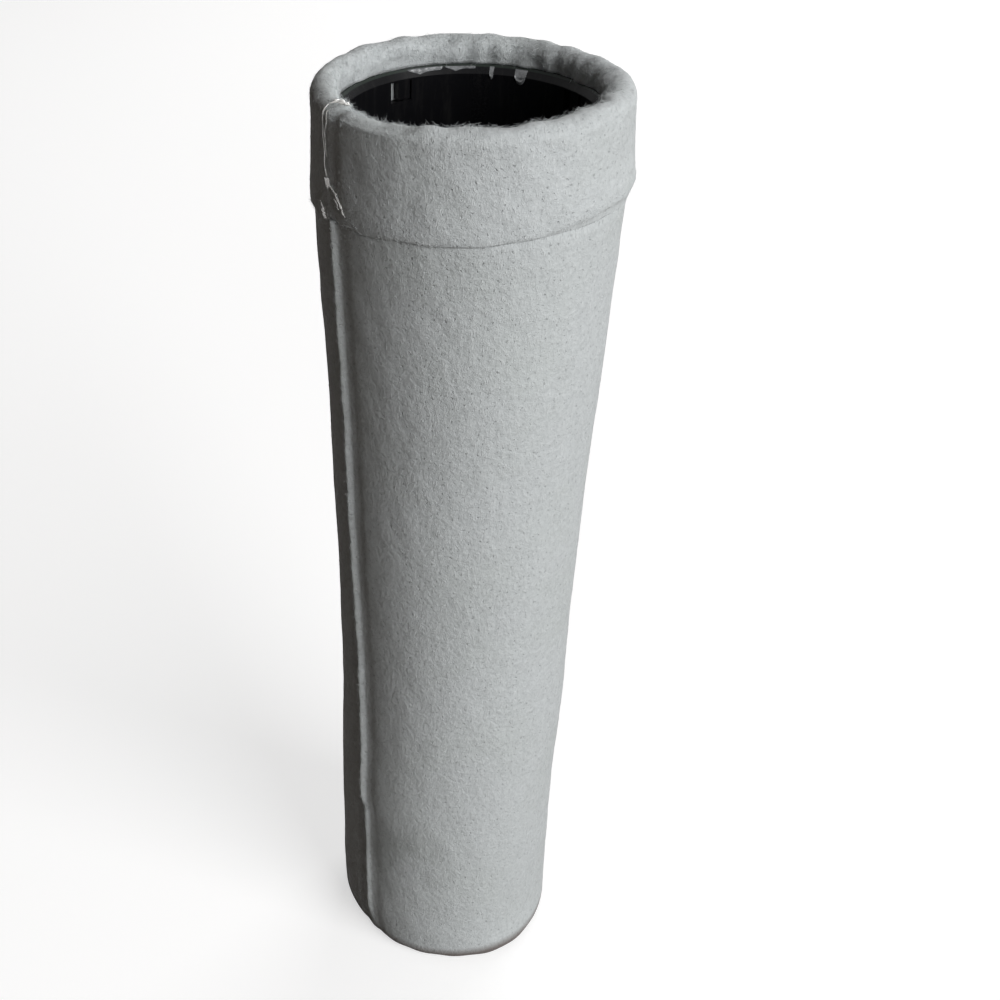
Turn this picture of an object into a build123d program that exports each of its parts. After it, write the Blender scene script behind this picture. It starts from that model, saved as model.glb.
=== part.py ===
from build123d import *
from math import atan2, cos, degrees, hypot, radians, sin
import os

# Secondary air filter: a moulded plastic cage inside a sleeve of needled felt.
# The sleeve is one tube of felt. Its top is folded outwards into a double cuff that
# seals in the air cleaner's outlet, and its foot is turned in under the cage's rim,
# where an inset end plate clamps it. Millimetres, +Z up, origin on the axis at the foot.

# Overall
overall_length = 395.0

# Felt sleeve
felt_thickness = 4.0
felt_fit_gap = 0.2
cuff_height = 39.0
fold_overhang = 1.2
neck_bulge = 2.0
cuff_edge_chamfer = 1.2
hem_corner_radius = 3.8
hem_inner_radius = 24.0
hem_squeeze = 0.8
hem_pleat_count = 20
hem_pleat_depth = 1.4
hem_pleat_radius = 1.8

# Felt seam, a welded bead that wanders a little round the body as it goes down
seam_bead_radius = 2.3
seam_bead_height = 1.3
seam_top_angle = 215.2
seam_middle_angle = 218.0
seam_foot_angle = 223.2
seam_overlap = 3.0
seam_tuck = 3.4

# Cage
collar_radius = 47.6
collar_wall = 3.0
collar_height = 45.0
rim_drop = 10.0
rim_chamfer_height = 3.0
rim_land = 1.0
waist_radius = 44.5
waist_height = 197.0
foot_radius = 42.8
lattice_wall = 2.2
collar_step_height = 3.0
foot_rim_depth = 4.0
floor_thickness = 2.2
window_columns = 10
window_rows = 9
window_width = 20.0
hoop_height = 6.0
foot_band_height = 8.0
bar_rib_width = 2.0
bar_rib_depth = 1.6
bar_rib_top_drop = 3.0
floor_rib_count = 6
floor_rib_width = 1.8
floor_rib_height = 4.0
hub_ring_wall = 1.6
hub_ring_height = 3.0

# Latch windows in the collar, each with a spring tongue hung from its top edge
latch_count = 4
latch_angle = 126.0
latch_window_width = 9.0
latch_window_height = 7.6
latch_drop = 3.6
tongue_width = 5.0
tongue_gap = 0.7

# End plate
plate_clearance = 0.4
plate_thickness = 2.4
dish_radius = 23.0
dish_gap = 0.1
hub_radius = 9.0
hub_wall = 2.4
hub_clearance = 0.2
barb_overlap = 1.0
barb_height = 2.0
barb_land = 0.6
hub_slot_width = 2.0
plate_rib_count = 8
plate_rib_width = 1.6
plate_rib_drop = 2.0

# Hot-melt adhesive: drawn-out threads bedded in the cuff, each with a thickness, a length, the
# angle and the height of its middle over the cuff's edge, and its lean from upright
glue_gap = 0.1
glue_threads = (
    (0.8, 10.0, 215.6, 27.0, 4.0),
    (1.4, 4.5, 214.6, 18.5, 0.0),
    (0.7, 12.0, 219.0, 8.5, -17.0),
    (0.6, 9.0, 211.2, 7.5, 12.0),
)

# Hot-melt adhesive: smears and drips along the cage's rim
smear_thickness = 0.5
smear_lengths = ((103.0, 119.0), (90.0, 101.0))
drip_angles = (81.5, 68.5)
drip_radii = (0.8, 1.3)
drip_lengths = (2.6, 4.2)

# Heights that follow from the sizes above
rim_top = overall_length - rim_drop
collar_foot = rim_top - collar_height
cuff_foot = overall_length - cuff_height
cage_foot = felt_thickness + felt_fit_gap
floor_under = cage_foot + foot_rim_depth
floor_top = floor_under + floor_thickness
lattice_foot = floor_top + foot_band_height
lattice_top = collar_foot - collar_step_height - hoop_height / 2

# Radii that follow from the sizes above
bore_radius = collar_radius - collar_wall
layer_inner = collar_radius + felt_fit_gap
layer_outer = layer_inner + felt_thickness
cuff_inner = layer_outer + felt_fit_gap
cuff_outer = cuff_inner + felt_thickness
neck_radius = layer_outer + neck_bulge
felt_skin = felt_fit_gap + felt_thickness
recess_radius = foot_radius - lattice_wall
hem_wall_outer = recess_radius - felt_fit_gap
hem_wall_inner = hem_wall_outer - felt_thickness
plate_radius = hem_wall_inner - plate_clearance
hem_under = floor_under - felt_fit_gap - (felt_thickness - hem_squeeze)
hub_hole_radius = hub_radius + hub_clearance
barb_radius = hub_hole_radius + barb_overlap


def waist_radius_at(points, height):
    """Radius, at a height, on the parabola through three (radius, height) points."""
    (r1, z1), (r2, z2), (r3, z3) = points
    return (
        r1 * (height - z2) * (height - z3) / ((z1 - z2) * (z1 - z3))
        + r2 * (height - z1) * (height - z3) / ((z2 - z1) * (z2 - z3))
        + r3 * (height - z1) * (height - z2) / ((z3 - z1) * (z3 - z2))
    )


cage_waist = ((foot_radius, cage_foot), (waist_radius, waist_height), (collar_radius, collar_foot))
felt_waist = (
    (foot_radius + felt_skin, hem_corner_radius),
    (waist_radius + felt_skin, waist_height),
    (neck_radius, cuff_foot),
)


def waist_edge(points, low, high, offset=0.0):
    """The waisted side line between two heights, moved outwards by an offset."""
    middle = (low + high) / 2
    start, half, end = [waist_radius_at(points, z) + offset for z in (low, middle, high)]
    return Bezier((start, low), (2 * half - (start + end) / 2, middle), (end, high))


def turned(outline):
    """A solid of revolution about Z from a closed outline drawn in radius and height."""
    return revolve(Plane.XZ * make_face(outline), Axis.Z)


def polar_point(radius, angle, height):
    return Vector(radius * cos(radians(angle)), radius * sin(radians(angle)), height)


def cage_wall():
    """Collar, waisted wall, foot rim and floor, as one turned moulding."""
    outer = waist_edge(cage_waist, cage_foot, collar_foot)
    step_low = collar_foot - collar_step_height
    inner = waist_edge(cage_waist, step_low, floor_top, -lattice_wall)
    rim = Polyline(
        outer @ 1,
        (collar_radius, rim_top),
        (collar_radius - rim_land, rim_top),
        (bore_radius, rim_top - rim_chamfer_height),
        (bore_radius, collar_foot),
        inner @ 0,
    )
    floor = Polyline(
        inner @ 1,
        (hub_hole_radius, floor_top),
        (hub_hole_radius, floor_under),
        (recess_radius, floor_under),
        (recess_radius, cage_foot),
        outer @ 0,
    )
    return turned([outer, rim, inner, floor])


def bar_ribs():
    """Stiffening ribs down the inside of the bars between the window columns."""
    high = collar_foot - collar_step_height - bar_rib_top_drop
    low = floor_top - floor_thickness / 2
    back = waist_edge(cage_waist, low, high, -lattice_wall / 2)
    front = waist_edge(cage_waist, high, low, -lattice_wall - bar_rib_depth)
    outline = [back, Line(back @ 1, front @ 0), front, Line(front @ 1, back @ 0)]
    rib = extrude(Plane.XZ * make_face(outline), bar_rib_width / 2, both=True)
    half_pitch = 180 / window_columns
    return [Rot(0, 0, half_pitch + 360 * i / window_columns) * rib for i in range(window_columns)]


def floor_ribs():
    """Radial ribs on the floor and the ring round the hub hole that they run into."""
    ring_inner = barb_radius + hub_clearance + barb_overlap
    ring_outer = ring_inner + hub_ring_wall
    sunk = floor_thickness / 2
    ring_depth, rib_depth = hub_ring_height + sunk, floor_rib_height + sunk
    ring = Cylinder(ring_outer, ring_depth) - Cylinder(ring_inner, ring_depth)
    ring = Pos(0, 0, floor_top - sunk + ring_depth / 2) * ring
    reach = foot_radius - lattice_wall / 2 - ring_outer + hub_ring_wall / 2
    start = ring_outer - hub_ring_wall / 2
    rib = Box(reach, floor_rib_width, rib_depth)
    rib = Pos(start + reach / 2, 0, floor_top - sunk + rib_depth / 2) * rib
    turn = 180 / window_columns
    return [ring] + [Rot(0, 0, turn + 360 * i / floor_rib_count) * rib for i in range(floor_rib_count)]


def window_cutters():
    """One box for each window of the lattice, through one side of the wall only."""
    pitch = (lattice_top - lattice_foot) / window_rows
    cutter = Box(collar_radius, window_width, pitch - hoop_height)
    out = collar_radius - lattice_wall
    return [
        Rot(0, 0, 360 * column / window_columns) * Pos(out, 0, lattice_foot + pitch * (row + 0.5)) * cutter
        for column in range(window_columns)
        for row in range(window_rows)
    ]


def latch_cutters():
    """Latch windows in the collar, less the spring tongue that hangs in each."""
    window = Box(collar_wall * 4, latch_window_width, latch_window_height)
    tongue_height = latch_window_height - tongue_gap
    aside = latch_window_width / 2 - tongue_gap - tongue_width / 2
    tongue = Pos(0, -aside, tongue_gap / 2) * Box(collar_wall * 4, tongue_width, tongue_height)
    opening = window - tongue
    middle = rim_top - latch_drop - latch_window_height / 2
    return [
        Rot(0, 0, latch_angle + 360 * i / latch_count) * Pos(collar_radius, 0, middle) * opening
        for i in range(latch_count)
    ]


def support_cage():
    return cage_wall() + bar_ribs() + floor_ribs() - window_cutters() - latch_cutters()


def felt_section():
    """Half section of the sleeve: hem, body, layer under the cuff, rolled fold and cuff."""
    fold_radius = (cuff_outer - layer_inner + fold_overhang) / 2
    fold_centre = cuff_outer - fold_radius
    fold_height = overall_length - fold_radius
    side = cuff_outer
    lip = layer_inner - fold_overhang

    outside = foot_radius + felt_skin
    hem_bottom = Line((hem_wall_inner + cuff_edge_chamfer, 0), (outside - hem_corner_radius, 0))
    hem_corner = Spline(hem_bottom @ 1, (outside, hem_corner_radius), tangents=((1, 0), (0, 1)))
    body = waist_edge(felt_waist, hem_corner_radius, cuff_foot)
    tuck = Polyline(
        body @ 1,
        (layer_outer, cuff_foot + neck_bulge * 2),
        (layer_outer, fold_height),
        (cuff_inner, fold_height),
        (cuff_inner, cuff_foot + neck_bulge * 3),
        (cuff_inner + neck_bulge, cuff_foot),
        (side - cuff_edge_chamfer, cuff_foot),
        (side, cuff_foot + cuff_edge_chamfer),
        (side, fold_height),
    )
    fold = Spline(
        tuck @ 1, (fold_centre, overall_length), (lip, fold_height), tangents=((0, 1), (0, -1))
    )
    bed = waist_edge(cage_waist, collar_foot, cage_foot, felt_fit_gap)
    inner_side = Polyline(
        fold @ 1,
        (lip, rim_top + felt_fit_gap),
        (layer_inner, rim_top + felt_fit_gap),
        bed @ 0,
    )
    hem_inside = Polyline(
        bed @ 1,
        (foot_radius + felt_fit_gap, felt_thickness),
        (hem_wall_outer, felt_thickness),
        (hem_wall_outer, floor_under - felt_fit_gap),
        (hem_inner_radius, floor_under - felt_fit_gap),
        (hem_inner_radius, hem_under),
        (hem_wall_inner, hem_under),
        (hem_wall_inner, cuff_edge_chamfer),
        hem_bottom @ 0,
    )
    return [hem_bottom, hem_corner, body, tuck, fold, inner_side, bed, hem_inside]


def felt_radius(height):
    return waist_radius_at(felt_waist, height)


def seam_bead():
    """The welded bead that stands proud down the body, from under the cuff to above the hem."""
    sunk = seam_bead_radius - seam_bead_height
    top, foot = cuff_foot + seam_overlap, hem_corner_radius + seam_bead_radius * 2
    middle = (top + foot) / 2
    spots = [
        polar_point(felt_radius(z) - sunk, angle, z)
        for angle, z in ((seam_top_angle, top), (seam_middle_angle, middle), (seam_foot_angle, foot))
    ]
    body = ThreePointArc(*spots)
    end = polar_point(felt_radius(foot) - seam_tuck, seam_foot_angle, foot - seam_tuck + sunk)
    path = body + TangentArc(body @ 1, end, tangent=body % 1)
    return sweep(Plane(origin=path @ 0, z_dir=path % 0) * Circle(seam_bead_radius), path=path)


def hem_pleats():
    """Grooves under the foot that deepen inwards, where the turned-in felt is gathered."""
    start = foot_radius + felt_skin - hem_corner_radius
    run = start - hem_wall_inner
    slope = atan2(hem_pleat_depth, run)
    groove = Pos(0, 0, -hem_pleat_radius) * Rot(0, 90, 0) * Cylinder(hem_pleat_radius, run * 2)
    groove = Pos(hem_wall_inner, 0, hem_pleat_depth) * Rot(0, degrees(slope), 0) * groove
    return [Rot(0, 0, 360 * (i + 0.5) / hem_pleat_count) * groove for i in range(hem_pleat_count)]


def beside_seam(radius, angle, height, lean):
    """Where a thread of that radius lies just under the cuff's face."""
    return Rot(0, 0, angle) * Pos(cuff_outer - glue_gap - radius, 0, cuff_foot + height) * Rot(lean, 0, 0)


def glue_thread(radius, length, angle, height, lean):
    """A thread of adhesive with chamfered ends."""
    rod = Cylinder(radius, length)
    return beside_seam(radius, angle, height, lean) * chamfer(rod.edges().filter_by(GeomType.CIRCLE), radius / 2)


def thread_bed(radius, length, angle, height, lean):
    """The slot in the cuff's face that a thread of adhesive lies in."""
    side = (radius + glue_gap) * 2
    slot = Pos(side / 2, 0, 0) * Box(side * 2, side, length + glue_gap * 2)
    return beside_seam(radius, angle, height, lean) * slot


def felt_sleeve():
    beds = [thread_bed(*thread) for thread in glue_threads]
    return turned(felt_section()) + seam_bead() - hem_pleats() - beds


def end_plate():
    """Inset plate with a raised dish and a split, barbed hub that snaps through the floor."""
    plate_top, plate_under = hem_under, hem_under - plate_thickness
    dish_top, dish_under = floor_under - dish_gap, floor_under - dish_gap - plate_thickness
    hub_top = floor_top + dish_gap + barb_height + barb_land
    outline = Polyline(
        (0, dish_under),
        (dish_radius - plate_thickness, dish_under),
        (dish_radius - plate_thickness, plate_under),
        (plate_radius, plate_under),
        (plate_radius, plate_top),
        (dish_radius, plate_top),
        (dish_radius, dish_top),
        (hub_radius, dish_top),
        (hub_radius, floor_top + dish_gap),
        (barb_radius, floor_top + dish_gap),
        (barb_radius, floor_top + dish_gap + barb_land),
        (hub_radius - hub_wall / 2, hub_top),
        (hub_radius - hub_wall, hub_top),
        (hub_radius - hub_wall, dish_top),
        (0, dish_top),
        close=True,
    )
    plate = turned(outline)
    slot_height = hub_top - dish_top
    slot = Pos(0, 0, dish_top + slot_height / 2 + dish_gap) * Box(barb_radius * 2.2, hub_slot_width, slot_height)
    start = hub_radius - hub_wall / 2
    reach = dish_radius - plate_thickness / 2 - start
    rib_height = plate_rib_drop + plate_thickness / 4
    rib = Pos(start + reach / 2, 0, dish_under - plate_rib_drop + rib_height / 2) * Box(
        reach, plate_rib_width, rib_height
    )
    ribs = [Rot(0, 0, 360 * i / plate_rib_count) * rib for i in range(plate_rib_count)]
    return plate + ribs - slot - Rot(0, 0, 90) * slot


def seam_glue():
    """Threads and a drop of hot-melt adhesive lying in the cuff along its seam."""
    return Compound(children=[glue_thread(*thread) for thread in glue_threads])


def rim_glue():
    """Smears of adhesive on the rim's chamfer and drips that ran off it."""
    run = collar_wall - rim_land
    slope = hypot(run, rim_chamfer_height)
    across = (rim_chamfer_height / slope, run / slope)
    low = (bore_radius, rim_top - rim_chamfer_height)
    high = (bore_radius + run, rim_top)

    def lifted(spot, lift):
        return (spot[0] - across[0] * lift, spot[1] + across[1] * lift)

    outline = Polyline(
        lifted(low, glue_gap),
        lifted(high, glue_gap),
        lifted(high, glue_gap + smear_thickness),
        lifted(low, glue_gap + smear_thickness),
        close=True,
    )
    section = Plane.XZ * make_face(outline)
    pieces = [
        revolve(Rot(0, 0, start) * section, Axis.Z, revolution_arc=end - start) for start, end in smear_lengths
    ]
    for angle, radius, length in zip(drip_angles, drip_radii, drip_lengths):
        middle = bore_radius - glue_gap - radius
        drip = Pos(*polar_point(middle, angle, rim_top - rim_chamfer_height - length / 2)) * (
            Rot(180, 0, 0) * Cone(radius, radius * 0.25, length)
        )
        pieces.append(drip)
    return Compound(children=pieces)


nodes = {
    "support_cage": support_cage(),
    "felt_sleeve": felt_sleeve(),
    "end_plate": end_plate(),
    "seam_glue": seam_glue(),
    "rim_glue": rim_glue(),
}

os.makedirs("parts", exist_ok=True)
for name, shape in nodes.items():
    export_step(shape, f"parts/{name}.step")
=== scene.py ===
import bpy
import numpy as np
from math import radians
from mathutils import Matrix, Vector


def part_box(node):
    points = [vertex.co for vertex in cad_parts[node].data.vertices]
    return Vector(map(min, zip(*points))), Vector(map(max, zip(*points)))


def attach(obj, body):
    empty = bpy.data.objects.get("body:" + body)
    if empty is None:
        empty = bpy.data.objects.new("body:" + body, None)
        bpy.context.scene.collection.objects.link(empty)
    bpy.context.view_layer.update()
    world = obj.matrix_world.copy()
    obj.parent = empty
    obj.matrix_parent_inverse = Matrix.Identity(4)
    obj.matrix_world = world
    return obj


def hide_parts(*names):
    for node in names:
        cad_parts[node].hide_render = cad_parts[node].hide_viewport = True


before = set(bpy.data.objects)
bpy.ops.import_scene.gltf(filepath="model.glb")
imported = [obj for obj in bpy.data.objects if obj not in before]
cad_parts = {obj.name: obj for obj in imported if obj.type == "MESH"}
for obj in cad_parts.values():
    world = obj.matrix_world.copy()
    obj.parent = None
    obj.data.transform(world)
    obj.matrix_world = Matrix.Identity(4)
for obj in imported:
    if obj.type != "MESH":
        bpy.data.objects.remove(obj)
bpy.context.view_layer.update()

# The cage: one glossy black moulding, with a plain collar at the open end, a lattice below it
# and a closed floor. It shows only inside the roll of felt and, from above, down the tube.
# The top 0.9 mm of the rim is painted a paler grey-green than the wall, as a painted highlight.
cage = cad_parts["support_cage"]
cage_low, cage_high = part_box("support_cage")
rim_top = cage_high.z
collar_radius = cage_high.x
highlight_band_height = 0.0009
plastic_black = (0.0050, 0.0050, 0.0060, 1)
plastic_dust = (0.13, 0.125, 0.115, 1)
painted_rim_highlight = (0.026, 0.033, 0.029, 1)


def new_material(name):
    """An empty node material with a Principled BSDF, as (material, nodes, links, shader)."""
    material = bpy.data.materials.new(name)
    material.use_nodes = True
    tree = material.node_tree
    return material, tree.nodes, tree.links, tree.nodes["Principled BSDF"]


def noise(n, l, vector, scale, detail=2.0, rough=0.5, distortion=0.0):
    """A noise node of that scale reading a vector socket, as its 0 to 1 value."""
    node = n.new("ShaderNodeTexNoise")
    node.inputs["Scale"].default_value = scale
    node.inputs["Detail"].default_value = detail
    node.inputs["Roughness"].default_value = rough
    node.inputs["Distortion"].default_value = distortion
    l.new(vector, node.inputs["Vector"])
    return node.outputs["Fac"]


def ramp(n, l, value, stops):
    """A colour ramp over a value, with stops of (position, grey or colour)."""
    node = n.new("ShaderNodeValToRGB")
    while len(node.color_ramp.elements) < len(stops):
        node.color_ramp.elements.new(0.5)
    for element, (position, colour) in zip(node.color_ramp.elements, stops):
        element.position = position
        element.color = (*colour[:3], 1) if hasattr(colour, "__len__") else (colour, colour, colour, 1)
    l.new(value, node.inputs["Fac"])
    return node.outputs["Color"]


def maths(n, l, operation, a, b=None, clamp=False):
    """A math node over sockets or numbers."""
    node = n.new("ShaderNodeMath")
    node.operation = operation
    node.use_clamp = clamp
    for socket, value in zip(node.inputs, (a, b)):
        if hasattr(value, "is_linked"):
            l.new(value, socket)
        elif value is not None:
            socket.default_value = value
    return node.outputs["Value"]


def mixed(n, l, factor, a, b):
    """Colour a where the factor is 0 and b where it is 1; each is a socket or a colour."""
    node = n.new("ShaderNodeMix")
    node.data_type = "RGBA"
    for socket, value in zip((node.inputs[0], node.inputs[6], node.inputs[7]), (factor, a, b)):
        if hasattr(value, "is_linked"):
            l.new(value, socket)
        else:
            socket.default_value = value
    return node.outputs[2]


def bumped(n, l, shader, height, strength, distance):
    """Feeds the shader's normal from a height by a bump node."""
    node = n.new("ShaderNodeBump")
    node.inputs["Strength"].default_value = strength
    node.inputs["Distance"].default_value = distance
    l.new(height, node.inputs["Height"])
    l.new(node.outputs["Normal"], shader.inputs["Normal"])


def plastic_group():
    """Moulded plastic: flow marks along the draw, fine scratches and settled dust."""
    group = bpy.data.node_groups.new("moulded_plastic", "ShaderNodeTree")
    for name, value in (("Gloss", 0.25), ("Scuffs", 0.1)):
        group.interface.new_socket(name, in_out="INPUT", socket_type="NodeSocketFloat").default_value = value
    for name in ("Roughness", "Dust", "Height"):
        group.interface.new_socket(name, in_out="OUTPUT", socket_type="NodeSocketFloat")
    n, l = group.nodes, group.links
    come, go = n.new("NodeGroupInput"), n.new("NodeGroupOutput")
    place = n.new("ShaderNodeTexCoord").outputs["Object"]
    drawn = n.new("ShaderNodeMapping")
    drawn.inputs["Scale"].default_value = (1, 1, 0.12)
    l.new(place, drawn.inputs["Vector"])
    flow = noise(n, l, drawn.outputs["Vector"], 60, 3)
    fine = noise(n, l, place, 900, 3, 0.6)
    scuff = ramp(n, l, fine, ((0.52, 0), (0.66, 1)))
    worn = maths(n, l, "MULTIPLY", scuff, come.outputs["Scuffs"])
    base = maths(n, l, "ADD", come.outputs["Gloss"], maths(n, l, "MULTIPLY", flow, 0.10))
    l.new(maths(n, l, "ADD", base, worn, True), go.inputs["Roughness"])
    specks = ramp(n, l, noise(n, l, drawn.outputs["Vector"], 420, 4, 0.7), ((0.50, 0), (0.72, 1)))
    l.new(maths(n, l, "MULTIPLY", specks, flow), go.inputs["Dust"])
    l.new(maths(n, l, "ADD", flow, maths(n, l, "MULTIPLY", fine, 0.15)), go.inputs["Height"])
    return group


moulded = plastic_group()


def black_plastic(name, gloss, scuffs, dust, bump):
    """Black plastic from the shared group, as new_material gives it and its dusty colour."""
    material, n, l, shader = new_material(name)
    group = n.new("ShaderNodeGroup")
    group.node_tree = moulded
    group.inputs["Gloss"].default_value = gloss
    group.inputs["Scuffs"].default_value = scuffs
    colour = mixed(n, l, maths(n, l, "MULTIPLY", group.outputs["Dust"], dust), plastic_black, plastic_dust)
    l.new(colour, shader.inputs["Base Color"])
    l.new(group.outputs["Roughness"], shader.inputs["Roughness"])
    bumped(n, l, shader, group.outputs["Height"], bump, 0.0004)
    return material, n, l, shader, colour


def paint(node, material):
    """Gives a carried-over CAD node one material."""
    node.data.materials.clear()
    node.data.materials.append(material)


cage_plastic, n, l, shader, dusty_black = black_plastic("cage_plastic", 0.24, 0.12, 0.12, 0.2)
shader.inputs["Specular IOR Level"].default_value = 0.10
where = n.new("ShaderNodeSeparateXYZ")
l.new(n.new("ShaderNodeTexCoord").outputs["Object"], where.inputs["Vector"])
# The rim's top band is painted paler grey-green: a painted highlight.
above_wall = maths(n, l, "SUBTRACT", where.outputs["Z"], rim_top - highlight_band_height)
on_rim = maths(n, l, "MULTIPLY", above_wall, 4000, True)
l.new(mixed(n, l, on_rim, dusty_black, painted_rim_highlight), shader.inputs["Base Color"])
paint(cage, cage_plastic)

# The end plate: a satin black disc with a raised dish, snapped through the cage's floor so
# that it clamps the turned-in felt. It shows only from below.
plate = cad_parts["end_plate"]
plate_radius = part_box("end_plate")[1].x
paint(plate, black_plastic("plate_plastic", 0.36, 0.18, 0.6, 0.35)[0])

# The felt sleeve: one tube of off-white needled felt, about 4 mm thick. Its top is folded
# outwards into a soft double cuff, its foot is turned in under the cage, and a welded seam
# stands proud down the left of its front. The cuff was folded by hand, so its edge slants.
overall_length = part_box("felt_sleeve")[1].z
cuff_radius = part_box("felt_sleeve")[1].x
felt_thickness = 0.004
fit_gap = 0.0003
cuff_foot = overall_length - 0.039
foot_radius, waist_radius, neck_radius = 0.0471, 0.0492, 0.0555
hem_round = 0.0042
lip_radius = 0.0466
lining_foot, lining_waist, lining_top = 0.0431, 0.0448, 0.0479
seam_foot, seam_middle, seam_top = radians(225.6), radians(218.4), radians(215.0)
seam_half_width, seam_height = 0.00135, 0.0019
edge_thickness = 0.0008
edge_azimuths = (0, 40, 90, 140, 186, 205, 215, 225, 234, 245, 255, 269, 279, 290, 303, 317, 335)
edge_lifts = (0.0020, 0.0014, 0.0, -0.0026, -0.0048, -0.0032, -0.0023, -0.0011, -0.0011, -0.0012,
              -0.0009, 0.0001, 0.0005, 0.0014, 0.0018, 0.0021, 0.0021)
kink_height, kink_reach = 0.0785, 0.017
felt_dark, felt_mid, felt_pale = (0.38, 0.402, 0.408), (0.560, 0.590, 0.598), (0.69, 0.718, 0.725)
felt_stain = (0.46, 0.505, 0.47, 1)
# Dark brown painted along the felt's foot as a painted contact shadow.
painted_foot_shadow = (0.11, 0.080, 0.068, 1)
smudge_place, smudge_reach = (-0.0225, -0.0435, 0.058), 0.030
smudge_tone = (0.30, 0.32, 0.31, 1)


def smooth(low, high, value):
    """0 below low, 1 above high, and an S-curve between; the other way if high is below low."""
    t = np.clip((value - low) / (high - low), 0, 1)
    return t * t * (3 - 2 * t)


def wrapped(angle):
    """The angle brought to between -pi and pi."""
    return (angle + np.pi) % (2 * np.pi) - np.pi


def parabola(height, foot, waist, top, top_height=cuff_foot):
    """The parabola through three values: near the floor, at half height and at the top."""
    a, b, c = 0.0038, overall_length / 2, top_height
    return (
        foot * (height - b) * (height - c) / ((a - b) * (a - c))
        + waist * (height - a) * (height - c) / ((b - a) * (b - c))
        + top * (height - a) * (height - b) / ((c - a) * (c - b))
    )


def uneven(x, y, z, seed, shortest, longest, count=24):
    """Soft unevenness about 0 and about 1 high: sine waves of lengths between the shortest and
    the longest, summed, that run in directions and start at phases drawn from the seed."""
    draw = np.random.default_rng(seed)
    total = np.zeros(np.broadcast(x, y, z).shape)
    for _ in range(count):
        way = draw.normal(size=3)
        way *= 2 * np.pi / (np.linalg.norm(way) * draw.uniform(shortest, longest))
        total += np.sin(way[0] * x + way[1] * y + way[2] * z + draw.uniform(0, 2 * np.pi))
    return total / np.sqrt(count / 2)


def round_curve(azimuths, values, phi, waves=4):
    """A smooth closed curve near the given values at the given azimuths in degrees: the sum of
    a constant and the first few sine and cosine waves that fits them best."""
    def terms(angle):
        return np.stack([f(k * angle) for k in range(waves + 1) for f in (np.cos, np.sin)][:1]
                        + [f(k * angle) for k in range(1, waves + 1) for f in (np.cos, np.sin)], -1)

    return terms(phi) @ np.linalg.lstsq(terms(np.radians(azimuths)), np.array(values), rcond=None)[0]


def seam_angle(height):
    """Azimuth of the seam's crest: a parabola, bent to one side above a kink near the foot."""
    line = parabola(height, seam_foot, seam_middle, seam_top)
    above = smooth(kink_height - 0.0015, kink_height + 0.0015, height)
    bend = np.exp(-(((height - kink_height - 0.010) / kink_reach) ** 2))
    return line - above * radians(1.9) * bend


def sleeve_section():
    """The closed outline of the sleeve, as rows of radius, height and zone: 0 body, 1 tuck
    under the cuff, 2 cuff, 3 fold, 4 lining, 5 hem. Arcs are sines and cosines, the body and
    the lining are parabolas, and straight stretches join them."""
    rows = []

    def add(radius, height, zone):
        radius, height = np.broadcast_arrays(np.atleast_1d(radius).astype(float), height)
        rows.append(np.stack([radius, height, np.full(radius.shape, float(zone))], 1))

    corner = np.linspace(-np.pi / 2, 0, 9)[1:]
    add(foot_radius - hem_round * (1 - np.cos(corner)), hem_round * (1 + np.sin(corner)), 0)
    up = np.linspace(hem_round, cuff_foot - 0.001, 140)[1:]
    add(parabola(up, foot_radius, waist_radius, neck_radius), up, 0)
    tuck = np.linspace(0, 1, 6)[1:]
    add(neck_radius - 0.0018 * smooth(0, 1, tuck), cuff_foot - 0.001 + 0.008 * tuck, 1)
    groove = neck_radius - 0.0016
    add(groove + (cuff_radius - edge_thickness - groove) * tuck**2, cuff_foot + 0.007 - 0.0064 * tuck, 1)
    edge = np.linspace(np.pi, 2 * np.pi, 11)[1:]
    edge_round = edge_thickness / 2
    add(cuff_radius - edge_round * (1 - np.cos(edge)), cuff_foot + edge_round * (1 + np.sin(edge)), 2)
    fold_round = (cuff_radius - lip_radius) / 2
    side = np.linspace(cuff_foot + edge_round, overall_length - fold_round, 30)[1:]
    add(cuff_radius, side, 2)
    over = np.linspace(0, np.pi, 25)[1:]
    add(cuff_radius - fold_round * (1 - np.cos(over)), overall_length - fold_round * (1 - np.sin(over)), 3)
    inside = np.linspace(0, 1, 6)[1:]
    add(lip_radius + 0.0008 * smooth(0, 1, inside),
        overall_length - fold_round + inside * (rim_top + fit_gap - overall_length + fold_round), 4)
    add(collar_radius + fit_gap, rim_top + fit_gap, 4)
    down = np.linspace(rim_top - 0.002, cage_low.z + 0.001, 30)
    lining = parabola(down, lining_foot, lining_waist, lining_top, 0.340)
    add(np.where(down > 0.339, collar_radius + fit_gap, lining), down, 4)
    wall = plate_radius + 0.0005
    add([foot_radius - 0.004, wall + 0.0042], cage_low.z - 0.0003, 5)
    add([wall + 0.0042, 0.025, 0.025], [0.0078, 0.0078, 0.0051], 5)
    add([wall, wall], [0.0051, 0.0030], 5)
    turn = np.linspace(np.pi, 1.5 * np.pi, 7)[1:]
    add(wall + 0.003 * (1 + np.cos(turn)), 0.003 * (1 + np.sin(turn)), 5)
    return np.concatenate(rows)


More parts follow.
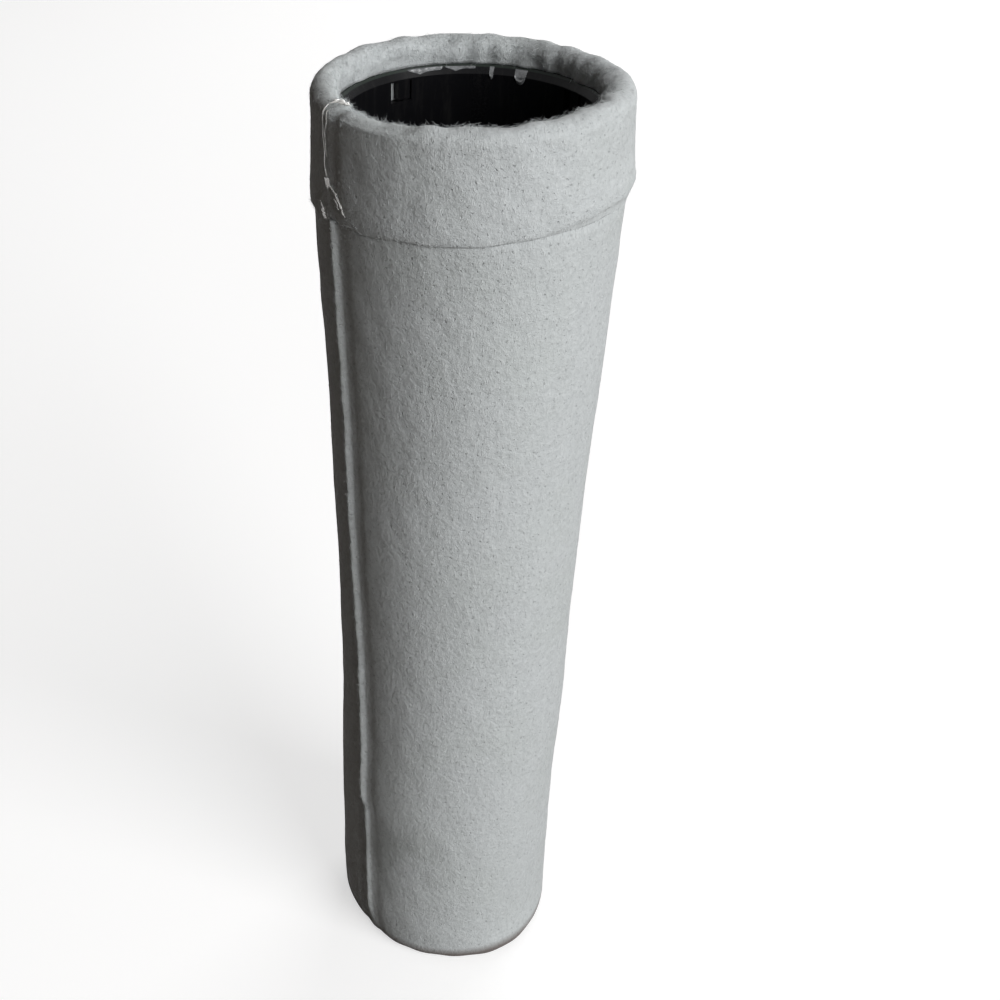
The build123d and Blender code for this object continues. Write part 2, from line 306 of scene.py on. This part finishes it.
def sleeve_points(section, angles):
    """The section carried round the axis. To each point's radius and height are added the
    seam's ridge, the cuff's slanting and flaring edge, the roll's dips and creases, the
    groove across the cuff where its ends meet, soft unevenness and the hem's gathers."""
    r0, z0, zone = [column[:, None] for column in section.T]
    phi = angles[None, :]
    r, z = r0 + 0 * phi, z0 + 0 * phi
    x0, y0 = r0 * np.cos(phi), r0 * np.sin(phi)

    body, tuck, cuff, fold, lining, hem = [zone == number for number in range(6)]
    off_seam = wrapped(phi - seam_angle(z0)) * r0
    ridge = np.exp(-(np.abs(off_seam / seam_half_width) ** 2.4))
    ragged = 1 + 0.08 * np.sin(z0 * 410 + 2 * np.sin(z0 * 173)) + 0.05 * np.sin(z0 * 1130)
    notch = 1 - 0.75 * np.exp(-(((z0 - kink_height) / 0.0022) ** 2))
    foot_fade = (0.55 + 0.45 * smooth(kink_height - 0.01, kink_height + 0.01, z0)) * smooth(0.002, 0.022, z0)
    pulled = np.exp(-(((np.abs(off_seam) - 0.0045) / 0.0026) ** 2))
    r = r + body * (seam_height * ragged * notch * foot_fade * ridge - 0.0004 * pulled)
    settled = smooth(0.0, 0.03, z0) * smooth(cuff_foot + 0.002, cuff_foot - 0.03, z0)
    r = r + body * settled * 0.00028 * uneven(x0, y0, z0, 3, 0.05, 0.16)
    r = r + (body | cuff) * smooth(0.0, 0.01, z0) * (0.00006 + 0.00006 * cuff) * uneven(x0, y0, z0, 4, 0.010, 0.026)
    r = r + body * 0.0003 * np.cos(phi) * smooth(0.0, 0.10, z0) * smooth(cuff_foot, 0.30, z0)

    out_front = np.exp(-((wrapped(phi - radians(308)) / 0.50) ** 2))
    cut_left = np.exp(-((wrapped(phi - radians(215)) / 0.45) ** 2))
    inset = np.maximum(foot_radius - r0, 0) * (z0 < hem_round)
    r = r + body * smooth(0.018, 0.002, z0) * (0.0015 * out_front - 0.0020 * cut_left)
    r = r + body * inset * 0.65 * out_front

    low = smooth(overall_length - 0.010, cuff_foot, z0)
    z = z + (tuck | cuff) * round_curve(edge_azimuths, edge_lifts, phi) * low
    near_edge = smooth(cuff_foot + 0.008, cuff_foot, z0)
    z = z + (tuck | cuff) * near_edge * 0.0002 * uneven(x0, y0, 0, 5, 0.012, 0.03)
    to_right = smooth(0.2, 1.0, np.cos(phi - radians(5)))
    shaved = cuff * near_edge * smooth(cuff_radius - edge_thickness, cuff_radius, r0)
    z = z + shaved * (0.0006 + 0.0028 * to_right)
    flare = 0.0005 + 0.0004 * np.cos(4 * phi + 1) * 0.5 + 0.0014 * to_right
    r = r + cuff * flare * low * smooth(0.0, 0.004, z0 - cuff_foot + 0.002)

    meeting = np.exp(-((wrapped(phi - radians(216.5)) * cuff_radius / 0.0031) ** 2))
    r = r - (cuff | fold) * meeting * 0.0006 * smooth(lip_radius, cuff_radius, r0)
    z = z - fold * meeting * 0.0011

    top = smooth(cuff_radius, lip_radius, r0)
    inward = fold * top + lining * (z0 > rim_top)
    rear_right = np.exp(-((wrapped(phi - radians(38)) / 0.60) ** 2))
    front_left = np.exp(-((wrapped(phi - radians(231)) / 0.30) ** 2))
    crease = np.sin(24 * phi + 3 * np.sin(5 * phi)) + 0.6 * np.sin(41 * phi + 1)
    r = r - inward * (0.0004 + 0.0007 * np.cos(phi) ** 3 - 0.0011 * front_left)
    rear = np.exp(-((wrapped(phi - radians(82)) / 0.35) ** 2))
    r = r - inward * (0.12 + rear_right + 0.5 * rear) * 0.00055 * crease
    lip = smooth(overall_length - 0.0047, overall_length, z0) * (fold | lining)
    z = z - lip * (0.0003 + 0.0014 * front_left + 0.0003 * np.cos(2 * phi - 1.9))
    soft = uneven(x0, y0, z0, 6, 0.006, 0.018)
    z = z + fold * smooth(cuff_radius, cuff_radius - 0.002, r0) * 0.00034 * soft
    r = r - inward * 0.00042 * soft

    gathers = hem * (z0 < 0.004) + body * (z0 < 0.003) * 0.5
    z = z + gathers * 0.00045 * (1 + np.cos(20 * phi + 0.6 * np.sin(3 * phi)))
    return np.stack([r * np.cos(phi), r * np.sin(phi), z], -1)


def grid_mesh(name, points, closed_u=False, closed_v=False, turned=False):
    """A smooth mesh over a grid of points[u, v], wrapped round where closed. Its faces look
    towards u cross v, or the other way if turned."""
    rows, cols = points.shape[:2]
    u, v = np.meshgrid(
        np.arange(rows if closed_u else rows - 1), np.arange(cols if closed_v else cols - 1), indexing="ij"
    )
    un, vn = (u + 1) % rows, (v + 1) % cols
    faces = np.stack([u * cols + v, un * cols + v, un * cols + vn, u * cols + vn], -1).reshape(-1, 4)
    faces = faces[:, ::-1] if turned else faces
    mesh = bpy.data.meshes.new(name)
    mesh.from_pydata(points.reshape(-1, 3), [], faces)
    mesh.polygons.foreach_set("use_smooth", np.ones(len(faces), bool))
    return mesh, faces


def piece(name, mesh, material, slot=None, *replaced):
    """A finished object at the origin with its material."""
    made = bpy.data.objects.new(name, mesh)
    bpy.context.scene.collection.objects.link(made)
    made.data.materials.append(material)
    return made


def set_uv(mesh, faces, u, v, span_u, span_v):
    """UV in metres from values at the vertices. A face across a wrap takes the low values a
    whole span further, so that the pattern isn't squeezed there."""
    corner = []
    for values, span in ((u[faces], span_u), (v[faces], span_v)):
        corner.append(np.where(values < values.max(1, keepdims=True) - span / 2, values + span, values))
    mesh.uv_layers.new(name="along_felt").data.foreach_set("uv", np.stack(corner, -1).reshape(-1))


around = np.concatenate([
    radians(218.4) + radians(10) * np.linspace(-1, 1, 46),
    radians(218.4) + np.linspace(radians(10), radians(350), 252)[1:-1],
])
section = sleeve_section()
sleeve_skin = sleeve_points(section, around)
sleeve_mesh, sleeve_faces = grid_mesh("felt_sleeve_body", sleeve_skin, True, True, True)
steps = np.hypot(*np.diff(section[:, :2], axis=0, append=section[:1, :2]).T)
run = np.concatenate([[0], np.cumsum(steps)[:-1]])
girth = 2 * np.pi * 0.0500
turned_through = (around - around[0]) / (2 * np.pi) * girth
set_uv(sleeve_mesh, sleeve_faces, np.repeat(run, len(around)), np.tile(turned_through, len(run)),
       steps.sum(), girth)


def felt_group():
    """Needled felt: short fibres that lie in several slanting directions, pinholes, soft
    clumps and faint stains, as a height and two shades."""
    group = bpy.data.node_groups.new("needled_felt", "ShaderNodeTree")
    group.interface.new_socket("Vector", in_out="INPUT", socket_type="NodeSocketVector")
    for name in ("Height", "Shade", "Stain"):
        group.interface.new_socket(name, in_out="OUTPUT", socket_type="NodeSocketFloat")
    n, l = group.nodes, group.links
    come, go = n.new("NodeGroupInput"), n.new("NodeGroupOutput")
    flat = come.outputs["Vector"]
    wavy = n.new("ShaderNodeVectorMath")
    wavy.operation = "MULTIPLY_ADD"
    sway = n.new("ShaderNodeTexNoise")
    sway.inputs["Scale"].default_value = 160
    l.new(flat, sway.inputs["Vector"])
    l.new(sway.outputs["Color"], wavy.inputs[0])
    wavy.inputs[1].default_value = (0.004, 0.004, 0)
    l.new(flat, wavy.inputs[2])
    fibres = None
    for turn, along, across in ((26, 260, 2100), (-33, 300, 2500), (64, 330, 2300), (-68, 300, 2700)):
        lay = n.new("ShaderNodeMapping")
        lay.inputs["Rotation"].default_value = (0, 0, radians(turn))
        lay.inputs["Scale"].default_value = (along, across, 1)
        l.new(wavy.outputs["Vector"], lay.inputs["Vector"])
        layer = noise(n, l, lay.outputs["Vector"], 1.0, 2.0, 0.5)
        fibres = maths(n, l, "MAXIMUM", fibres, layer) if fibres else layer
    strands = ramp(n, l, fibres, ((0.60, 0), (0.82, 1)))
    clumps = noise(n, l, flat, 430, 5, 0.70)
    broken = maths(n, l, "MULTIPLY", strands, ramp(n, l, clumps, ((0.38, 0), (0.62, 1))))
    pits = ramp(n, l, noise(n, l, flat, 760, 2, 0.5), ((0.27, 1), (0.37, 0)))
    soft = noise(n, l, flat, 130, 3, 0.5)
    height = maths(n, l, "ADD", maths(n, l, "MULTIPLY", broken, 0.42), maths(n, l, "MULTIPLY", clumps, 0.85))
    height = maths(n, l, "ADD", height, maths(n, l, "MULTIPLY", soft, 0.7))
    height = maths(n, l, "SUBTRACT", height, maths(n, l, "MULTIPLY", pits, 0.30))
    l.new(height, go.inputs["Height"])
    shade = maths(n, l, "ADD", maths(n, l, "MULTIPLY", broken, 0.50), maths(n, l, "MULTIPLY", clumps, 0.80))
    shade = maths(n, l, "ADD", shade, maths(n, l, "MULTIPLY", soft, 0.15))
    l.new(maths(n, l, "SUBTRACT", shade, maths(n, l, "MULTIPLY", pits, 0.38)), go.inputs["Shade"])
    l.new(noise(n, l, flat, 22, 4, 0.55, 0.4), go.inputs["Stain"])
    return group


felt, n, l, shader = new_material("felt")
group = n.new("ShaderNodeGroup")
group.node_tree = felt_group()
l.new(n.new("ShaderNodeUVMap").outputs["UV"], group.inputs["Vector"])
tone = ramp(n, l, group.outputs["Shade"], ((0.14, felt_dark), (0.50, felt_mid), (0.98, felt_pale)))
stained = ramp(n, l, group.outputs["Stain"], ((0.32, 1), (0.58, 0)))
tone = mixed(n, l, maths(n, l, "MULTIPLY", stained, 0.16), tone, felt_stain)
place = n.new("ShaderNodeTexCoord").outputs["Object"]
where = n.new("ShaderNodeSeparateXYZ")
l.new(place, where.inputs["Vector"])
away = n.new("ShaderNodeVectorMath")
away.operation = "DISTANCE"
l.new(place, away.inputs[0])
away.inputs[1].default_value = smudge_place
smudged = ramp(n, l, maths(n, l, "DIVIDE", away.outputs["Value"], smudge_reach), ((0.15, 1), (1.0, 0)))
patches = ramp(n, l, noise(n, l, place, 55, 3, 0.5), ((0.40, 0), (0.62, 1)))
smudged = maths(n, l, "MULTIPLY", maths(n, l, "MULTIPLY", smudged, patches), 0.55)
tone = mixed(n, l, smudged, tone, smudge_tone)
# The felt below about 7.5 mm, most of all below 3 mm, is painted dark brown, made patchy by the stain noise: a
# painted contact shadow along the foot.
near_floor = maths(n, l, "MULTIPLY", maths(n, l, "SUBTRACT", 0.0075, where.outputs["Z"]), 240, True)
painted_contact_shadow = maths(n, l, "MULTIPLY", near_floor, maths(n, l, "ADD", group.outputs["Stain"], 0.30), True)
l.new(mixed(n, l, painted_contact_shadow, tone, painted_foot_shadow), shader.inputs["Base Color"])
shader.inputs["Roughness"].default_value = 0.95
shader.inputs["Specular IOR Level"].default_value = 0.10
shader.inputs["Sheen Weight"].default_value = 0.12
shader.inputs["Sheen Roughness"].default_value = 0.5
bumped(n, l, shader, group.outputs["Height"], 0.75, 0.0010)

sleeve = piece("felt_sleeve_body", sleeve_mesh, felt)
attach(sleeve, "root")
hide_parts("felt_sleeve")

# The loose fibres of the felt: fine hairs that stand off its surface everywhere, thickest
# along the crest of the roll, on the cuff's cut edge and down the seam.
hair_half_width = 0.000045
hair_tone = (0.60, 0.61, 0.595)


def felt_hairs(skin, seed, rows, columns, count, length, rise):
    """Flat ribbons of four points each. A hair starts at a point drawn from the skin's rows
    and columns, leaves it along a drawn tangent, and bends outwards by rise times its length
    along the normal, which is the cross product of the skin's two tangents."""
    draw = np.random.default_rng(seed)
    i = draw.uniform(rows[0], rows[1] - 1, count)
    j = draw.uniform(columns[0], columns[1] - 1, count)
    i0, j0 = i.astype(int), j.astype(int)
    i1, j1 = i0 + 1, (j0 + 1) % skin.shape[1]
    di, dj = (i - i0)[:, None], (j - j0)[:, None]
    root = (skin[i0, j0] * (1 - di) + skin[i1, j0] * di) * (1 - dj)
    root = root + (skin[i0, j1] * (1 - di) + skin[i1, j1] * di) * dj
    along = skin[i1, j0] - skin[i0, j0]
    across = skin[i0, j1] - skin[i0, j0]
    along = along / np.linalg.norm(along, axis=1, keepdims=True)
    out = np.cross(across, along)
    out = out / np.linalg.norm(out, axis=1, keepdims=True)
    across = np.cross(along, out)
    turn = draw.uniform(0, 2 * np.pi, (count, 1))
    heading = np.cos(turn) * along + np.sin(turn) * across
    bend = np.cross(out, heading) * draw.normal(0, 0.35, (count, 1))
    long = draw.uniform(length[0], length[1], (count, 1))
    lift = draw.uniform(rise[0], rise[1], (count, 1))
    t = np.linspace(0, 1, 4)[None, :, None]
    line = root[:, None] + long[:, None] * (
        t * heading[:, None] + t**2 * bend[:, None] + (t * lift[:, None] * (1.5 - 0.5 * t) - 0.06) * out[:, None]
    )
    side = np.cross(heading, draw.normal(size=(count, 3)))
    side = side / np.linalg.norm(side, axis=1, keepdims=True)
    taper = np.array([1, 0.9, 0.7, 0.25])[None, :, None] * hair_half_width
    return np.stack([line - side[:, None] * taper, line + side[:, None] * taper], 2).reshape(-1, 8, 3)


zone_rows = [np.flatnonzero(section[:, 2] == number) for number in range(6)]
whole = (0, len(around))
hairs = np.concatenate([
    felt_hairs(sleeve_skin, 11, (zone_rows[3][12], zone_rows[4][4]), whole, 6000, (0.0011, 0.0030), (0.12, 0.55)),
    felt_hairs(sleeve_skin, 12, (zone_rows[2][0], zone_rows[2][14]), whole, 1500, (0.0008, 0.0020), (0.05, 0.30)),
    felt_hairs(sleeve_skin, 13, (8, zone_rows[0][-1]), (14, 32), 2600, (0.0007, 0.0016), (0.08, 0.4)),
    felt_hairs(sleeve_skin, 14, (8, zone_rows[0][-1]), whole, 5200, (0.0010, 0.0024), (0.03, 0.18)),
    felt_hairs(sleeve_skin, 15, (zone_rows[2][12], zone_rows[3][12]), whole, 3000, (0.0009, 0.0022), (0.03, 0.22)),
])
quads = np.array([[0, 1, 3, 2], [2, 3, 5, 4], [4, 5, 7, 6]])
hair_mesh = bpy.data.meshes.new("felt_fuzz")
hair_mesh.from_pydata(
    hairs.reshape(-1, 3), [], (np.arange(len(hairs))[:, None, None] * 8 + quads).reshape(-1, 4)
)
hair_felt, n, l, shader = new_material("felt_hair")
patchy = noise(n, l, n.new("ShaderNodeTexCoord").outputs["Object"], 300, 2)
l.new(ramp(n, l, patchy, ((0.35, felt_mid), (0.65, felt_pale))), shader.inputs["Base Color"])
shader.inputs["Roughness"].default_value = 0.9
shader.inputs["Specular IOR Level"].default_value = 0.15
fuzz = piece("felt_fuzz", hair_mesh, hair_felt)
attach(fuzz, "root")

# The threads and drops of hot-melt adhesive on the cuff's seam. They were drawn out while
# hot, so each is a lumpy string that ends in a point.
glue_proud = 0.00045


def string_of_glue(angles, climbs, radii, out=0.0, sides=8, steps=26):
    """A closed tube along a curve that goes through the given azimuths (degrees) and climbs,
    the distances up the cuff from its edge and on over the fold, which is an arc. Its radius
    goes through the given radii, with a fine swell, and falls to almost nothing at both ends."""
    t = np.linspace(0, 1, steps)
    knots = np.linspace(0, 1, len(angles))
    phi = np.radians(np.interp(t, knots, angles) + 0.35 * np.sin(9 * t + angles[0]))
    climb = np.interp(t, knots, climbs)
    fold_round = (cuff_radius - lip_radius) / 2
    side_height = overall_length - fold_round - cuff_foot
    over = np.clip(climb - side_height, 0, None) / fold_round
    r = cuff_radius + 0.0003 - fold_round * (1 - np.cos(over)) + out * np.cos(over) + 0.0001 * np.sin(17 * t)
    z = cuff_foot + np.minimum(climb, side_height) + (fold_round + out) * np.sin(over)
    thick = np.interp(t, knots, radii) * (1 + 0.25 * np.sin(23 * t + climbs[0] * 900))
    thick = thick * np.sqrt(np.clip(1 - np.abs(2 * t - 1) ** 8, 0.0004, 1))
    path = np.stack([r * np.cos(phi), r * np.sin(phi), z], 1)
    way = np.gradient(path, axis=0)
    way /= np.linalg.norm(way, axis=1, keepdims=True)
    middle = np.stack([np.cos(phi) * (cuff_radius - fold_round), np.sin(phi) * (cuff_radius - fold_round), z], 1)
    side = np.cross(way, path - middle + [0, 0, 1e-5])
    side /= np.linalg.norm(side, axis=1, keepdims=True)
    proud = np.cross(side, way)
    turn = np.linspace(0, 2 * np.pi, sides, endpoint=False)[None, :, None]
    return path[:, None] + thick[:, None, None] * (np.cos(turn) * side[:, None] + np.sin(turn) * proud[:, None])


def joined(name, grids):
    """One mesh of several closed tubes, each with its ends closed by a fan to their middles."""
    points, faces, start = [], [], 0
    for grid in grids:
        rows, cols = grid.shape[:2]
        u, v = np.meshgrid(np.arange(rows - 1), np.arange(cols), indexing="ij")
        vn = (v + 1) % cols
        side = np.stack([u * cols + v, u * cols + vn, (u + 1) * cols + vn, (u + 1) * cols + v], -1)
        faces += (side.reshape(-1, 4) + start).tolist()
        faces.append((np.arange(cols)[::-1] + start).tolist())
        faces.append((np.arange(cols) + start + (rows - 1) * cols).tolist())
        points.append(grid.reshape(-1, 3))
        start += rows * cols
    mesh = bpy.data.meshes.new(name)
    mesh.from_pydata(np.concatenate(points), [], faces)
    mesh.polygons.foreach_set("use_smooth", np.ones(len(faces), bool))
    return mesh


hot_melt, n, l, shader = new_material("hot_melt")
place = n.new("ShaderNodeTexCoord").outputs["Object"]
cloud = noise(n, l, place, 700, 2)
l.new(ramp(n, l, cloud, ((0.35, (0.60, 0.59, 0.55)), (0.65, (0.86, 0.86, 0.83)))), shader.inputs["Base Color"])
l.new(ramp(n, l, noise(n, l, place, 1500, 1), ((0.3, 0.06), (0.7, 0.22))), shader.inputs["Roughness"])
shader.inputs["Subsurface Weight"].default_value = 0.2
shader.inputs["Subsurface Radius"].default_value = (0.001, 0.001, 0.0009)
shader.inputs["Specular IOR Level"].default_value = 1.0
shader.inputs["Coat Weight"].default_value = 1.0
shader.inputs["Coat Roughness"].default_value = 0.03
shader.inputs["Coat IOR"].default_value = 1.9
threads = [
    string_of_glue([209.5, 212, 214.5, 217], [0.0405, 0.0430, 0.0440, 0.0435], [0.0003, 0.0007, 0.0005, 0.0002], -0.0002),
    string_of_glue([210, 213, 216, 218.5], [0.0385, 0.0410, 0.0418, 0.0430], [0.0002, 0.0003, 0.0004, 0.0002]),
    string_of_glue([210.5, 209.2, 209.0, 210.2, 211.8], [0.0395, 0.0320, 0.0260, 0.0190, 0.0130], [0.0003, 0.00018, 0.00013, 0.00016, 0.0003], -0.0001),
    string_of_glue([212.5, 211.0, 211.6], [0.0370, 0.0290, 0.0200], [0.00016, 0.00011, 0.00011]),
    string_of_glue([211.4, 212.3, 212.6], [0.0143, 0.0116, 0.0092], [0.0003, 0.0012, 0.0004], -0.0005),
    string_of_glue([210.2, 212.0, 213.2], [0.0128, 0.0120, 0.0110], [0.0002, 0.0007, 0.0003], -0.0001),
    string_of_glue([212.6, 215.6, 217.8], [0.0110, 0.0102, 0.0092], [0.0003, 0.0002, 0.0003], -0.0001),
    string_of_glue([217.6, 219.4, 221.4, 223.3], [0.0092, 0.0068, 0.0046, 0.0022], [0.0003, 0.0005, 0.0004, 0.0002], -0.0002),
    string_of_glue([216.8, 218.2, 219.8], [0.0074, 0.0062, 0.0040], [0.00015, 0.0003, 0.00015], -0.0001),
    string_of_glue([206.0, 207.0, 209.0, 210.8], [0.0030, 0.0008, -0.0006, -0.0022], [0.0002, 0.0004, 0.0007, 0.0003], -0.0002),
    string_of_glue([208.4, 209.0, 209.6], [0.0016, -0.0004, -0.0028], [0.0003, 0.0006, 0.0002], -0.0002),
]
seam_glue = piece("seam_glue_threads", joined("seam_glue_threads", threads), hot_melt)
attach(seam_glue, "root")
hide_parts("seam_glue")

# The smears and drips of the same adhesive along the cage's rim, inside the roll.
lead_in_start, wall_radius, lead_in_depth = 0.0466, 0.0446, 0.003


def rim_smear(azimuths, reach, thickness, arches=0.0, steps=40, rows=14):
    """A closed skin of adhesive that starts on the rim, lies on its slanting lead-in and may
    run down the wall below. Across the azimuths (degrees) its lower end bows up between arches
    as a sine does; its thickness grows towards that end into a bead and is nothing at its
    edges. The loop runs down its face and back up 0.2 mm inside the plastic."""
    a = np.linspace(0, 1, steps)[:, None]
    s = np.linspace(0, 1, rows)[None, :]
    phi = np.radians(azimuths[0] + (azimuths[1] - azimuths[0]) * a) + 0 * s
    ends = np.clip(4 * a * (1 - a), 0, 1) ** 0.35
    down = reach[0] + (reach[1] - reach[0]) * s * ends * (1 - arches * np.abs(np.cos(np.pi * 1.5 * a)))
    slant = np.hypot(lead_in_start - wall_radius, lead_in_depth)
    lean = np.array([lead_in_start - wall_radius, lead_in_depth]) / slant
    on_lead = np.minimum(down, slant)
    r = lead_in_start - lean[0] * on_lead
    z = rim_top - lean[1] * on_lead - np.maximum(down - slant, 0)
    proud = thickness * ends * (0.35 + 0.25 * np.sin(31 * a) * s + np.exp(-(((s - 0.86) / 0.10) ** 2)))
    proud = proud * np.clip(8 * (1 - s), 0, 1) * np.clip(8 * s, 0, 1)

    def skin(rise):
        rr, zz = r - lean[1] * rise, z + lean[0] * rise
        return np.stack([rr * np.cos(phi), rr * np.sin(phi), zz], -1)

    return np.concatenate([skin(proud), skin(-0.0002 + 0 * proud)[:, ::-1]], 1)


smear_melt, n, l, shader = new_material("smeared_hot_melt")
place = n.new("ShaderNodeTexCoord").outputs["Object"]
cloud = noise(n, l, place, 420, 3, 0.6)
l.new(ramp(n, l, cloud, ((0.35, (0.10, 0.105, 0.11)), (0.70, (0.26, 0.27, 0.28)))), shader.inputs["Base Color"])
l.new(ramp(n, l, noise(n, l, place, 1200, 1), ((0.3, 0.10), (0.7, 0.35))), shader.inputs["Roughness"])
shader.inputs["Coat Weight"].default_value = 0.3
shader.inputs["Coat Roughness"].default_value = 0.1
smears = [
    rim_smear((121.5, 104.0), (0.0004, 0.0030), 0.00045, 0.35),
    rim_smear((103.0, 88.5), (0.0006, 0.0027), 0.00020, 0.45),
    rim_smear((82.2, 80.0), (0.0006, 0.0056), 0.0005, 0.0, 12),
    rim_smear((70.0, 63.8), (0.0006, 0.0066), 0.0006, 0.0, 14),
]
rim_glue = piece("rim_smears", joined("rim_smears", smears), smear_melt)
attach(rim_glue, "root")
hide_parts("rim_glue")

# The floor, the lamps and the camera of a plain studio: a pale floor, one broad lamp from
# the right, one from behind and a weak one from the left.
floor_mesh = bpy.data.meshes.new("floor")
floor_mesh.from_pydata([(-6, -6, 0), (6, -6, 0), (6, 6, 0), (-6, 6, 0)], [], [(0, 1, 2, 3)])
floor_paint, n, l, shader = new_material("floor_paint")
shader.inputs["Roughness"].default_value = 0.9
shader.inputs["Emission Color"].default_value = (1, 1, 1, 1)
seen = n.new("ShaderNodeLightPath")
direct = maths(n, l, "MAXIMUM", seen.outputs["Is Camera Ray"], seen.outputs["Is Glossy Ray"])
direct = maths(n, l, "MAXIMUM", direct, seen.outputs["Is Transmission Ray"])
l.new(mixed(n, l, direct, (0.060, 0.050, 0.042, 1), (0.50, 0.50, 0.50, 1)), shader.inputs["Base Color"])
l.new(maths(n, l, "MULTIPLY", direct, 0.62), shader.inputs["Emission Strength"])
floor = piece("floor", floor_mesh, floor_paint)

world = bpy.data.worlds.new("studio")
bpy.context.scene.world = world
world.use_nodes = True
n, l = world.node_tree.nodes, world.node_tree.links
seen = n.new("ShaderNodeLightPath")
direct = maths(n, l, "MAXIMUM", seen.outputs["Is Camera Ray"], seen.outputs["Is Glossy Ray"])
direct = maths(n, l, "MAXIMUM", direct, seen.outputs["Is Transmission Ray"])
l.new(mixed(n, l, direct, (1, 0.76, 0.60, 1), (1, 1, 1, 1)), n["Background"].inputs["Color"])
l.new(maths(n, l, "ADD", maths(n, l, "MULTIPLY", direct, 0.970), 0.030), n["Background"].inputs["Strength"])


def facing(place, aim):
    """Rotation columns and place of something at a place whose back turns from the aim."""
    back = np.array(place, float) - np.array(aim, float)
    back /= np.linalg.norm(back)
    right = np.cross((0, 0, 1), back)
    right /= np.linalg.norm(right)
    return np.stack([right, np.cross(back, right), back], 1)


def set_matrix(made, columns, place):
    """Puts an object at a place with the given rotation columns."""
    top = np.concatenate([columns, np.array(place, float)[:, None]], 1)
    made.matrix_world = Matrix(np.concatenate([top, [[0, 0, 0, 1]]]).tolist())


def lamp(name, azimuth, elevation, distance, size, level, aim=(0, 0, 0.2)):
    """A square lamp in a direction from the aim, in degrees. At level 1 a white sheet at the
    aim that faces it is lit to white: power is pi squared times distance squared."""
    a, e = radians(azimuth), radians(elevation)
    place = np.array(aim) + distance * np.array([np.cos(a) * np.cos(e), np.sin(a) * np.cos(e), np.sin(e)])
    data = bpy.data.lights.new(name, "AREA")
    data.size = size
    data.energy = level * (np.pi * distance) ** 2
    made = bpy.data.objects.new(name, data)
    bpy.context.scene.collection.objects.link(made)
    set_matrix(made, facing(place, aim), place)


lamp("key_lamp", 319, 25, 2.6, 1.9, 1.22)
lamp("back_lamp", 68, 30, 2.4, 1.5, 0.45)
lamp("left_lamp", 190, 20, 2.4, 1.5, 0.012)

view_distance, view_height = 0.503, 0.5555
yaw, pitch, roll = -0.102, 0.558, -0.018
focal_pixels, frame_pixels = 1485.4, 1000.0
centre_x, centre_y = 330.0, 455.0
camera_data = bpy.data.cameras.new("camera")
camera_data.sensor_fit = "HORIZONTAL"
camera_data.sensor_width = 36
camera_data.lens = focal_pixels / frame_pixels * 36
camera_data.shift_x = 0.5 - centre_x / frame_pixels
camera_data.shift_y = centre_y / frame_pixels - 0.5
camera_data.clip_start, camera_data.clip_end = 0.02, 40
forward = np.array([np.sin(yaw) * np.cos(pitch), np.cos(yaw) * np.cos(pitch), -np.sin(pitch)])
level_right = np.array([np.cos(yaw), -np.sin(yaw), 0])
upright = np.cross(level_right, forward)
camera = bpy.data.objects.new("camera", camera_data)
bpy.context.scene.collection.objects.link(camera)
set_matrix(camera, np.stack([
    np.cos(roll) * level_right + np.sin(roll) * upright,
    np.cos(roll) * upright - np.sin(roll) * level_right,
    -forward,
], 1), (0, -view_distance, view_height))
bpy.context.scene.camera = camera
bpy.context.scene.view_settings.view_transform = "Standard"
